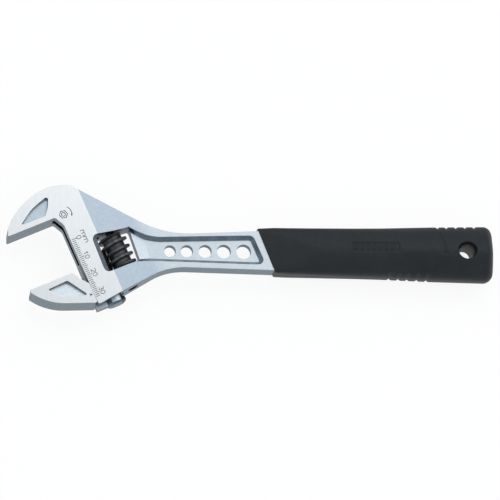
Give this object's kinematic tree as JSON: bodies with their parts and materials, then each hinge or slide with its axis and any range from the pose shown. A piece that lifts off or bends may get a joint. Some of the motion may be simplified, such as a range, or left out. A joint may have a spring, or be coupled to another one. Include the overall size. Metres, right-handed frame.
{
  "type": "adjustable wrench",
  "caption": "Adjustable wrench with a wide-opening head, worm-driven sliding jaw, lightened steel handle and a rubber grip with a hang hole.",
  "frame": {"origin": "centre of the hang hole, halfway through the thickness", "axes": "+X from the jaws towards the grip's end, +Y towards the fixed jaw's back, +Z out of the face with the scale"},
  "size_m": [0.2514, 0.0643, 0.021],
  "materials": {
    "chrome_steel": "satin chrome on a forging, polished on the head",
    "jaw_steel": "polished chrome face, satin sides",
    "black_steel": "black oxide",
    "pin_steel": "dark oiled steel",
    "spring_steel": "drawn wire",
    "grip_rubber": "matte moulded rubber"
  },
  "bodies": {
    "frame": {"body": "chrome_steel", "worm_pin": "pin_steel", "worm_spring": "spring_steel", "grip": "grip_rubber"},
    "jaw": {"movable_jaw": "jaw_steel"},
    "knurl": {"worm": "black_steel"}
  },
  "joints": [
    {"name": "jaw_slide", "type": "slide", "parent": "frame", "child": "jaw", "axis": [0.3907, -0.9205, 0], "range_m": [-0.02998, 0.004]},
    {"name": "worm_spin", "type": "hinge", "parent": "frame", "child": "knurl", "pos_m": [-0.18036, -0.00016, 0], "axis": [-0.3907, 0.9205, 0], "range_deg": [-2580, 350]}
  ],
  "couplings": [
    {"joint": "worm_spin", "follows": "jaw_slide", "rad_per_m": 1496}
  ]
}
